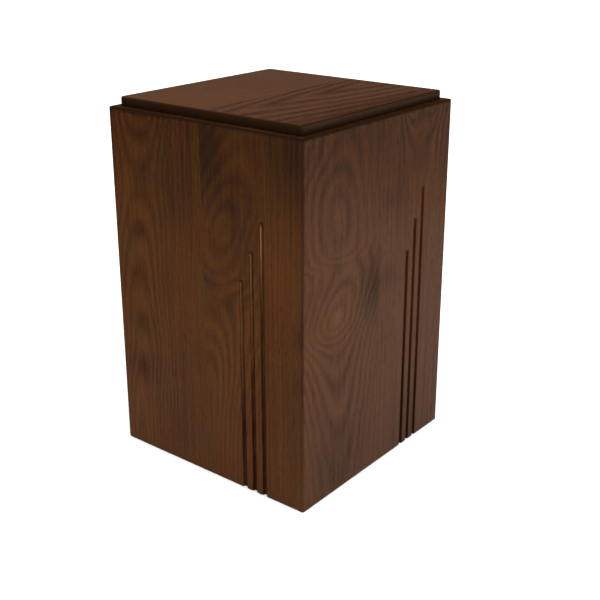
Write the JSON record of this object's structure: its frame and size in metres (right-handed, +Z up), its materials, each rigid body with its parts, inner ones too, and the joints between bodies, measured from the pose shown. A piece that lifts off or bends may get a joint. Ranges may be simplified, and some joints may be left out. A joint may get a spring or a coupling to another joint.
{
  "type": "cremation urn box",
  "caption": "Square upright wooden urn box with mitred sides, routed stepped grooves near one edge of two faces, and a lift-off lid set in from a narrow ledge.",
  "frame": {"origin": "middle of the underside, on the surface that the box stands on", "axes": "+Z up; -Y is the front, a face with grooves; +X is the box's right side, the other face with grooves"},
  "size_m": [0.175, 0.175, 0.2692],
  "materials": {
    "panels": "ash with a dark brown stain under satin lacquer, grain upright",
    "lid": "ash with a dark brown stain under satin lacquer, grain from front to back",
    "base": "stained ash, left matt underneath"
  },
  "bodies": {
    "root": {"front_panel": "panels", "right_panel": "panels", "back_panel": "panels", "left_panel": "panels", "base_panel": "base", "lid": "lid"}
  },
  "joints": []
}
